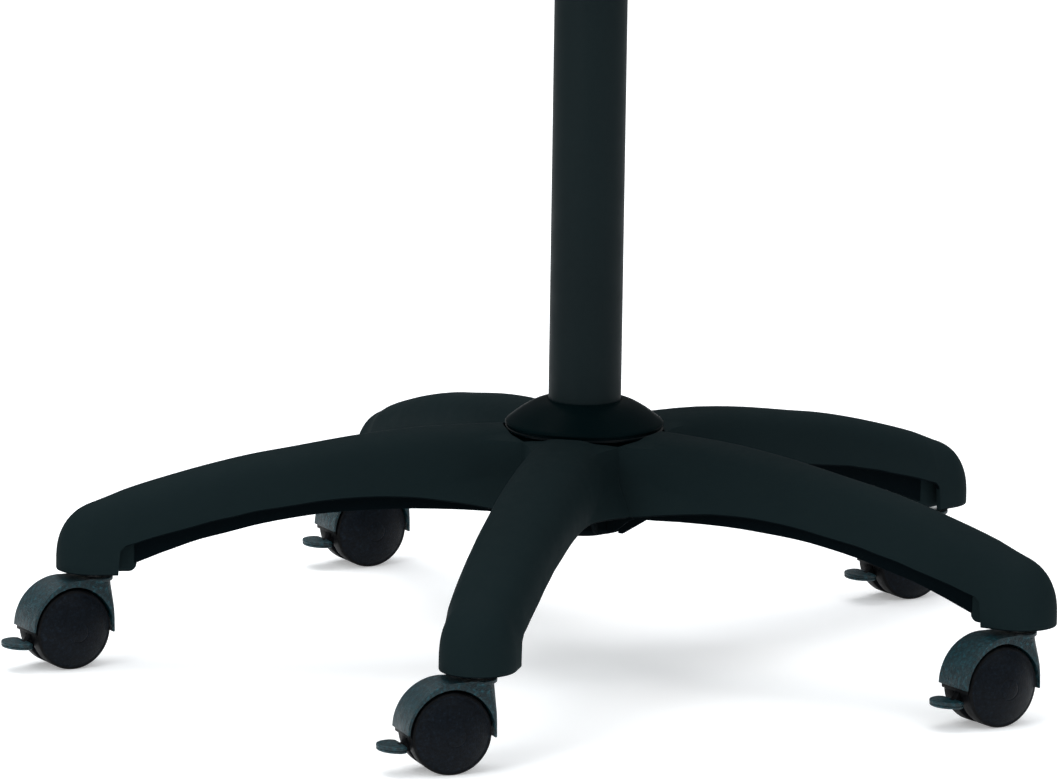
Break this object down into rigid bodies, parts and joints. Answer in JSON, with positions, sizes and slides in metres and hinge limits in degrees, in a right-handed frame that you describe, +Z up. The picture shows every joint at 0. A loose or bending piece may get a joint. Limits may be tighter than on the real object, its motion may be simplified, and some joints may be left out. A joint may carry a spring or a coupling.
{
  "type": "adjustable swivel stool",
  "caption": "Swivel stool: moulded star base on braked twin-wheel casters, gas-spring column with release lever, round padded seat.",
  "frame": {"origin": "the point on the floor straight under the column's axis", "axes": "+Z up along the column's axis; +X towards the release lever; -Y towards the viewer of the picture"},
  "size_m": [0.6482, 0.6305, 0.655],
  "materials": {
    "arm_plastic": "moulded glass-filled nylon, satin black with a green cast",
    "collar_plastic": "glossy black",
    "column_paint": "semi-matte black powder coat on a steel tube",
    "caster_plastic": "fine-textured black nylon",
    "wheel_plastic": "black nylon, spark-eroded face",
    "steel": "zinc-plated and ground steel",
    "black_steel": "black enamelled steel",
    "aluminium": "turned",
    "bush_plastic": "black acetal",
    "rubber": "matte",
    "plywood": "bare birch plywood",
    "seat_cover": "black vinyl upholstery over foam, with a stitched boxing seam",
    "button_plastic": "green acetal"
  },
  "bodies": {
    "base": {"star_base": "arm_plastic", "hub_sleeve": "steel", "base_collar": "collar_plastic", "stand_tube": "column_paint", "guide_bush": "bush_plastic", "bearing_lower_race": "steel", "caster_socket_1": "steel", "caster_socket_2": "steel", "caster_socket_3": "steel", "caster_socket_4": "steel", "caster_socket_5": "steel", "caster_stem_1": "steel", "caster_stem_2": "steel", "caster_stem_3": "steel", "caster_stem_4": "steel", "caster_stem_5": "steel"},
    "spindle": {"piston_rod": "steel", "piston": "aluminium", "bearing_ball_cage": "steel", "bearing_upper_race": "steel", "rubber_buffer": "rubber", "retaining_clip": "steel"},
    "seat": {"pressure_cylinder": "black_steel", "seat_mechanism": "black_steel", "lever_pivot_pin": "steel", "seat_pan": "plywood", "seat_cushion": "seat_cover", "seat_screw_1": "steel", "seat_screw_2": "steel", "seat_screw_3": "steel", "seat_screw_4": "steel"},
    "lever": {"release_lever": "black_steel", "lever_grip": "caster_plastic"},
    "release_button": {"release_pin": "button_plastic"},
    "caster_1": {"caster_hood_1": "caster_plastic", "wheel_axle_1": "steel"},
    "wheel_1a": {"caster_wheel_1a": "wheel_plastic"},
    "wheel_1b": {"caster_wheel_1b": "wheel_plastic"},
    "brake_1": {"brake_pedal_1": "caster_plastic"},
    "caster_2": {"caster_hood_2": "caster_plastic", "wheel_axle_2": "steel"},
    "wheel_2a": {"caster_wheel_2a": "wheel_plastic"},
    "wheel_2b": {"caster_wheel_2b": "wheel_plastic"},
    "brake_2": {"brake_pedal_2": "caster_plastic"},
    "caster_3": {"caster_hood_3": "caster_plastic", "wheel_axle_3": "steel"},
    "wheel_3a": {"caster_wheel_3a": "wheel_plastic"},
    "wheel_3b": {"caster_wheel_3b": "wheel_plastic"},
    "brake_3": {"brake_pedal_3": "caster_plastic"},
    "caster_4": {"caster_hood_4": "caster_plastic", "wheel_axle_4": "steel"},
    "wheel_4a": {"caster_wheel_4a": "wheel_plastic"},
    "wheel_4b": {"caster_wheel_4b": "wheel_plastic"},
    "brake_4": {"brake_pedal_4": "caster_plastic"},
    "caster_5": {"caster_hood_5": "caster_plastic", "wheel_axle_5": "steel"},
    "wheel_5a": {"caster_wheel_5a": "wheel_plastic"},
    "wheel_5b": {"caster_wheel_5b": "wheel_plastic"},
    "brake_5": {"brake_pedal_5": "caster_plastic"}
  },
  "joints": [
    {"name": "seat_swivel", "type": "hinge", "parent": "base", "child": "spindle", "pos_m": [0, 0, 0.0925], "axis": [0, 0, 1], "continuous": true},
    {"name": "height_slide", "type": "slide", "parent": "spindle", "child": "seat", "axis": [0, 0, 1], "range_m": [-0.06, 0.19]},
    {"name": "lever_pull", "type": "hinge", "parent": "seat", "child": "lever", "pos_m": [0.03, 0, 0.567], "axis": [0, -1, 0], "range_deg": [0, 5.5], "stiffness_Nm_per_rad": 4, "springref_deg": -5.73},
    {"name": "button_press", "type": "slide", "parent": "seat", "child": "release_button", "axis": [0, 0, -1], "range_m": [0, 0.0034]},
    {"name": "caster_swivel_1", "type": "hinge", "parent": "base", "child": "caster_1", "pos_m": [-0.30302, -0.03469, 0.05], "axis": [0, 0, 1], "continuous": true},
    {"name": "wheel_roll_1a", "type": "hinge", "parent": "caster_1", "child": "wheel_1a", "pos_m": [-0.31691, -0.05116, 0.025], "axis": [0.4924, -0.8704, 0], "continuous": true},
    {"name": "wheel_roll_1b", "type": "hinge", "parent": "caster_1", "child": "wheel_1b", "pos_m": [-0.3243, -0.0381, 0.025], "axis": [0.4924, -0.8704, 0], "continuous": true},
    {"name": "brake_press_1", "type": "hinge", "parent": "caster_1", "child": "brake_1", "pos_m": [-0.33314, -0.05172, 0.0314], "axis": [0.4924, -0.8704, 0], "range_deg": [0, 7]},
    {"name": "caster_swivel_2", "type": "hinge", "parent": "base", "child": "caster_2", "pos_m": [-0.06065, -0.29891, 0.05], "axis": [0, 0, 1], "continuous": true},
    {"name": "wheel_roll_2a", "type": "hinge", "parent": "caster_2", "child": "wheel_2a", "pos_m": [-0.07694, -0.31301, 0.025], "axis": [0.3502, -0.9367, 0], "continuous": true},
    {"name": "wheel_roll_2b", "type": "hinge", "parent": "caster_2", "child": "wheel_2b", "pos_m": [-0.0822, -0.29896, 0.025], "axis": [0.3502, -0.9367, 0], "continuous": true},
    {"name": "brake_press_2", "type": "hinge", "parent": "caster_2", "child": "brake_2", "pos_m": [-0.09306, -0.31103, 0.0314], "axis": [0.3502, -0.9367, 0], "range_deg": [0, 7]},
    {"name": "caster_swivel_3", "type": "hinge", "parent": "base", "child": "caster_3", "pos_m": [0.26554, -0.15005, 0.05], "axis": [0, 0, 1], "continuous": true},
    {"name": "wheel_roll_3a", "type": "hinge", "parent": "caster_3", "child": "wheel_3a", "pos_m": [0.25298, -0.16756, 0.025], "axis": [0.5592, -0.829, 0], "continuous": true},
    {"name": "wheel_roll_3b", "type": "hinge", "parent": "caster_3", "child": "wheel_3b", "pos_m": [0.2446, -0.15513, 0.025], "axis": [0.5592, -0.829, 0], "continuous": true},
    {"name": "brake_press_3", "type": "hinge", "parent": "caster_3", "child": "brake_3", "pos_m": [0.23685, -0.1694, 0.0314], "axis": [0.5592, -0.829, 0], "range_deg": [0, 7]},
    {"name": "caster_swivel_4", "type": "hinge", "parent": "base", "child": "caster_4", "pos_m": [0.22476, 0.20617, 0.05], "axis": [0, 0, 1], "continuous": true},
    {"name": "wheel_roll_4a", "type": "hinge", "parent": "caster_4", "child": "wheel_4a", "pos_m": [0.21131, 0.18934, 0.025], "axis": [0.515, -0.8572, 0], "continuous": true},
    {"name": "wheel_roll_4b", "type": "hinge", "parent": "caster_4", "child": "wheel_4b", "pos_m": [0.20358, 0.2022, 0.025], "axis": [0.515, -0.8572, 0], "continuous": true},
    {"name": "brake_press_4", "type": "hinge", "parent": "caster_4", "child": "brake_4", "pos_m": [0.1951, 0.18835, 0.0314], "axis": [0.515, -0.8572, 0], "range_deg": [0, 7]},
    {"name": "caster_swivel_5", "type": "hinge", "parent": "base", "child": "caster_5", "pos_m": [-0.12663, 0.27747, 0.05], "axis": [0, 0, 1], "continuous": true},
    {"name": "wheel_roll_5a", "type": "hinge", "parent": "caster_5", "child": "wheel_5a", "pos_m": [-0.14094, 0.26137, 0.025], "axis": [0.4695, -0.8829, 0], "continuous": true},
    {"name": "wheel_roll_5b", "type": "hinge", "parent": "caster_5", "child": "wheel_5b", "pos_m": [-0.14798, 0.27461, 0.025], "axis": [0.4695, -0.8829, 0], "continuous": true},
    {"name": "brake_press_5", "type": "hinge", "parent": "caster_5", "child": "brake_5", "pos_m": [-0.15718, 0.26123, 0.0314], "axis": [0.4695, -0.8829, 0], "range_deg": [0, 7]}
  ],
  "couplings": [
    {"joint": "button_press", "follows": "lever_pull", "m_per_rad": 0.034}
  ]
}
